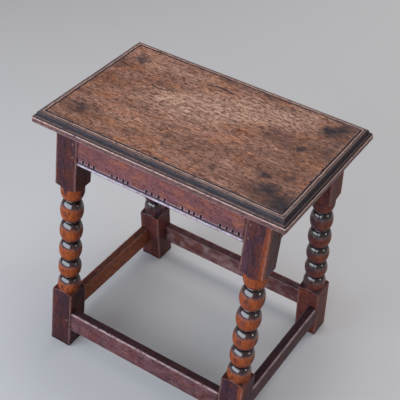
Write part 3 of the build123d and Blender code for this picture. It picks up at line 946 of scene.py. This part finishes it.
def buildRail(kind, word, side, seed):
    node = kind + "_" + word
    onEnd = word in ("left", "right")
    rail, material = (apron, oakAprons) if kind == "apron" else (stretcher, oakStretchers)
    outline = filled(
        apronOutline() if kind == "apron" else stretcherOutline(rail["endThick" if onEnd else "thick"]))
    out = outwards(outline)
    low = railLow[kind][onEnd]
    toPlace = (endPlace if onEnd else framePlace)(side, low)
    tone, pale = railFinish.get(node, (0, 0))
    beadTop = rail.get("beadHeight", 0)

    def halfRun(height):
        # half the length at a height above the lower edge
        return legInnerY(low + height) if onEnd else shoulderX

    stations = round(2 * halfRun(0) / rail["fineStation" if node == "apron_front" else "station"])
    points, grain, marks = [], [], []
    for i in range(stations + 1):
        along = -1 + 2 * i / stations
        broken = max(0, roughen((along, 0, 0), 0.12, seed + 3) - 0.22) * rail.get("beadWear", 0)
        for (depth, height, dirt, rub, raw), (outX, outZ) in zip(outline, out):
            x = along * halfRun(height)
            spot = (x, depth, height)
            push = 0.5 - 0.7 * roughen(spot, 8 * mm, seed) - 0.9 * roughen(spot, 45 * mm, seed + 5)
            push = max(push, 0) * rail["wear"] * (0.35 + 0.9 * rub)
            if height < beadTop:
                push += broken * rub
            points.append((x, depth - outX * push, max(height - outZ * push, 0)))
            grain.append(spot)
            shade = 0.8 * max(0, (abs(along) - 1) * halfRun(0) / (5 * mm) + 1)     # dark by the shoulder
            patch = max(0, 0.25 + roughen(spot, 15 * mm, seed + 9)) * (1 - dirt)
            marks.append((max(dirt, shade), min(1, rub + pale * patch), raw))
    count = len(outline)
    faces = tubeFaces(stations + 1, count)
    faces.append(tuple(range(count)))
    faces.append(tuple(range(stations * count, (stations + 1) * count)))
    # the tenons, hidden in the legs
    reach = railEnd[kind][onEnd] - halfRun(rail["tenonLow"])
    near = rail["tenonInset"]
    far = near + rail["tenonThick"]
    for end in (-1, 1):
        start = len(points)
        for height in (rail["tenonLow"], rail["tenonHigh"]):
            for x in (end * (halfRun(height) - 2 * mm), end * (halfRun(height) + reach)):
                points += [(x, near, height), (x, far, height)]
        grain += points[start:]
        marks += [(0, 0, 1)] * 8
        for face in ((0, 1, 3, 2), (4, 6, 7, 5), (0, 4, 5, 1), (2, 3, 7, 6), (0, 2, 6, 4), (1, 5, 7, 3)):
            faces.append(tuple(start + k for k in face))
    placed = [toPlace(Vector(p)) for p in points]
    dirt, rub, raw = np.array(marks).T
    name = kind + "Rail_" + word
    mesh = oakMesh(
        name, placed, faces, grain, seed, material, dirt=dirt, rub=rub, raw=raw,
        tone=np.full(len(points), float(tone)))
    piece = newPiece(name, mesh)
    if node == "apron_front":
        inwards = leanMatrix(side).to_3x3() @ Vector((0, 1, 0))
        runTree(piece, nickTree(), nicks | {"Inwards": inwards, "Material": material})
    finishPiece(piece, "oak_aprons" if kind == "apron" else "oak_stretchers", node)


nicks = {
    "Middle": -3.8 * mm,            # X of the middle group
    "Group Pitch": 68.8 * mm, "Groups Each Side": 2.0, "Nick Pitch": 11.2 * mm, "Nicks": 4.0,
    "Stray": 1.2 * mm, "Width": 5.6 * mm, "Depth": 2.6 * mm,
    "Band Middle": 11.5 * mm,       # above the apron's lower edge
    "Band Half": 3.7 * mm, "Seed": 11,
}


def nickTree():
    tree, given = newTree("carvedNicks", nicks, {"Inwards": ("Vector", (0, 1, 0))})
    pitch, groupPitch, sideGroups = (
        given[title] for title in ("Nick Pitch", "Group Pitch", "Groups Each Side"))
    along, inwards, up = splitXyz(readField(tree, "grain", "FLOAT_VECTOR"))
    fromMiddle = along - given["Middle"]
    group = smaller(reckon("ROUND", fromMiddle / groupPitch), sideGroups)
    group = larger(group, sideGroups * -1)
    inGroup = fromMiddle - group * groupPitch
    centre = given["Nicks"] * 0.5 - 0.5
    number = larger(smaller(reckon("ROUND", inGroup / pitch + centre), centre * 2), 0)
    which = group * 10 + number + 50
    stray = randomField(-1.0, 1.0, which, given["Seed"]) * given["Stray"]
    force = randomField(0.7, 1.05, which, given["Seed"] + 1)
    climb = (up - given["Band Middle"]) / given["Band Half"]
    lens = larger(1 - climb * climb, 0)
    half = given["Width"] * 0.5 * root(lens)
    away = abs(inGroup - ((number - centre) * pitch + stray)) / larger(half, 0.0001)
    onFace = reckon("LESS_THAN", inwards, 4 * mm)
    cut = larger(1 - away, 0) * onFace * force
    push = addNode(
        tree, "ShaderNodeVectorMath", {0: given["Inwards"], 3: cut * root(lens) * given["Depth"]},
        operation="SCALE",
    )
    moved = addNode(
        tree, "GeometryNodeSetPosition", {"Geometry": given["Geometry"], "Offset": push})
    inBand = smoothStep(lens, 0.02, 0.3)
    # painted shade with dirt down each cut, and a painted highlight along its edges
    dirt = smoothStep(cut, 0.04, 0.3) * inBand
    rub = smoothStep(abs(away - 1.05), 0.5, 0.0) * 0.4 * inBand * onFace
    marked = writeFields(
        moved, dirt=larger(readField(tree, "dirt"), dirt), rub=larger(readField(tree, "rub"), rub))
    return endTree(marked, given["Material"])


railSeed = 11
for side, word in ((-1, "front"), (1, "back"), (-1, "left"), (1, "right")):
    for kind in ("apron", "stretcher"):
        buildRail(kind, word, side, railSeed)
        railSeed += 1


peg = {"Radius": 3.4 * mm, "Length": 27 * mm, "Dome": 0.5 * mm, "Sides": 12, "Seed": 5}
pegFit = {"stand": 0.6 * mm, "seatRadius": 3.9 * mm, "seatLength": 44 * mm, "seatSoil": 0.75}


def pegTree():
    tree, given = newTree("shavedPegs", peg, {})
    stick = addNode(
        tree, "GeometryNodeMeshCylinder",
        {"Vertices": given["Sides"], "Side Segments": 8, "Fill Segments": 3, "Radius": given["Radius"],
         "Depth": given["Length"]},
        "Mesh", fill_type="TRIANGLE_FAN",
    )
    atX, atY, atZ = splitXyz(addNode(tree, "GeometryNodeInputPosition"))
    outShare = root(atX * atX + atY * atY) / given["Radius"]
    top = given["Length"] * 0.5
    onHead = reckon("GREATER_THAN", atZ, top - 0.01 * mm)
    rim = smoothStep(outShare, 0.66, 0.99)
    made = writeFields(
        stick, grain=joinXyz(atZ, atX, atY), dirt=larger(rim, 1 - onHead), rub=(1 - rim) * onHead * 0.35)
    z = atZ - top - outShare * outShare * given["Dome"] * onHead
    made = addNode(
        tree, "GeometryNodeSetPosition", {"Geometry": made, "Position": joinXyz(atX, atY, z)})
    number = addNode(tree, "GeometryNodeInputIndex")
    spin = joinXyz(0.0, 0.0, randomField(0.0, 6.28, number, given["Seed"]))
    spin = addNode(tree, "FunctionNodeEulerToRotation", {"Euler": spin})
    aimed = addNode(
        tree, "FunctionNodeAlignRotationToVector",
        {"Rotation": spin, "Vector": readField(tree, "aim", "FLOAT_VECTOR")}, axis="Z",
    )
    pegs = addNode(
        tree, "GeometryNodeInstanceOnPoints",
        {"Points": given["Geometry"], "Instance": made, "Rotation": aimed,
         "Scale": readField(tree, "size", "FLOAT_VECTOR")},
    )
    real = addNode(tree, "GeometryNodeRealizeInstances", {"Geometry": pegs})
    real = writeFields(real, dirt=larger(readField(tree, "dirt"), readField(tree, "soil")))
    return endTree(real, given["Material"])


def pegHead(node):
    # middle of a peg's head, the way it faces, and its size against the side pegs' one
    low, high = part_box(node)
    middle = (low + high) / 2
    if node.startswith("seat"):
        wide = pegFit["seatRadius"] / peg["Radius"]
        size = (wide, wide, pegFit["seatLength"] / peg["Length"])
        return Vector((middle.x, middle.y, high.z - 0.1 * mm)), Vector((0, 0, 1)), size
    owner = node.split("_")[1]
    if owner in ("left", "right"):
        aim = Vector((-1 if owner == "left" else 1, 0, 0))
    else:
        aim = leanMatrix(-1 if owner == "front" else 1).to_3x3() @ Vector((0, -1, 0))
    return middle + aim * (peg["Length"] + pegFit["stand"]) / 2, aim, (1, 1, 1)


def buildPegs():
    names = sorted(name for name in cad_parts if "_peg_" in name)
    heads, aims, sizes = zip(*(pegHead(name) for name in names))
    piece = newPiece("shavedPegs")
    piece.data.from_pydata(heads, [], [])
    markPoints(piece.data, "aim", aims)
    markPoints(piece.data, "size", sizes)
    markPoints(piece.data, "stick", [30 + number for number in range(len(names))])
    markPoints(piece.data, "soil", [pegFit["seatSoil"] * name.startswith("seat") for name in names])
    runTree(piece, pegTree(), peg | {"Material": oakPegs})
    finishPiece(piece, "oak_pegs", *names)


buildPegs()


studio = {
    "floor": (0.52, 0.505, 0.51), "floorHalf": 6, "floorRoughness": 0.85,
    "world": (0.90, 0.95, 1.0), "worldStrength": 0.21,
    "aim": (0, 0, 0.25),
    # place, width, height, watts and colour of each lamp
    "lamps": {
        "windowLamp": ((-0.55, -1.69, 1.02), 3.4, 1.3, 61, (0.79, 0.89, 1.0)),
        "overheadLamp": ((0.1, 0.5, 2.3), 1.6, 1.6, 22, (1.0, 0.97, 0.95)),
        "sparkLamp": ((1.95, 0.1, 0.78), 0.36, 0.36, 3, (1.0, 0.95, 0.85)),
        "backLamp": ((0.5, 2.3, 1.2), 2.6, 1.6, 22, (1.0, 0.98, 0.96)),
    },
    "fillOnly": ("backLamp",),      # gives light and no highlight
}
camera = {
    "place": (0.6547, -1.0961, 1.3603), "yaw": 0.5362, "pitch": -0.6827, "roll": 0.0649,
    "focal": 86.3, "sensor": 36,
}


def buildFloor():
    floor = newPiece("floor")
    work = bmesh.new()
    bmesh.ops.create_grid(work, x_segments=1, y_segments=1, size=studio["floorHalf"])
    work.to_mesh(floor.data)
    work.free()
    material = bpy.data.materials.new("paleFloor")
    material.use_nodes = True
    shader = material.node_tree.nodes["Principled BSDF"]
    shader.inputs["Base Color"].default_value = (*studio["floor"], 1)
    shader.inputs["Roughness"].default_value = studio["floorRoughness"]
    shader.inputs["Specular IOR Level"].default_value = 0.0
    floor.data.materials.append(material)


def buildLights():
    for name, (place, width, height, power, colour) in studio["lamps"].items():
        lamp = bpy.data.lights.new(name, "AREA")
        lamp.shape, lamp.energy, lamp.color = "RECTANGLE", power, colour
        lamp.size, lamp.size_y = width, height
        holder = bpy.data.objects.new(name, lamp)
        holder.location = place
        aim = Vector(studio["aim"]) - holder.location
        holder.rotation_euler = aim.to_track_quat("-Z", "Y").to_euler()
        holder.visible_glossy = name not in studio["fillOnly"]
        scene.collection.objects.link(holder)
    scene.world = bpy.data.worlds.new("studioWorld")
    scene.world.use_nodes = True
    sky = scene.world.node_tree.nodes["Background"]
    sky.inputs["Color"].default_value = (*studio["world"], 1)
    sky.inputs["Strength"].default_value = studio["worldStrength"]


def buildCamera():
    lens = bpy.data.cameras.new("camera")
    lens.sensor_width = camera["sensor"]
    lens.lens = camera["focal"]
    holder = bpy.data.objects.new("camera", lens)
    holder.matrix_world = (
        Matrix.Translation(camera["place"]) @ Matrix.Rotation(camera["yaw"], 4, "Z")
        @ Matrix.Rotation(math.pi / 2 + camera["pitch"], 4, "X") @ Matrix.Rotation(camera["roll"], 4, "Z"))
    scene.collection.objects.link(holder)
    scene.camera = holder


buildFloor()
buildLights()
buildCamera()
scene.view_settings.view_transform = "Standard"
print("studio and camera ready")
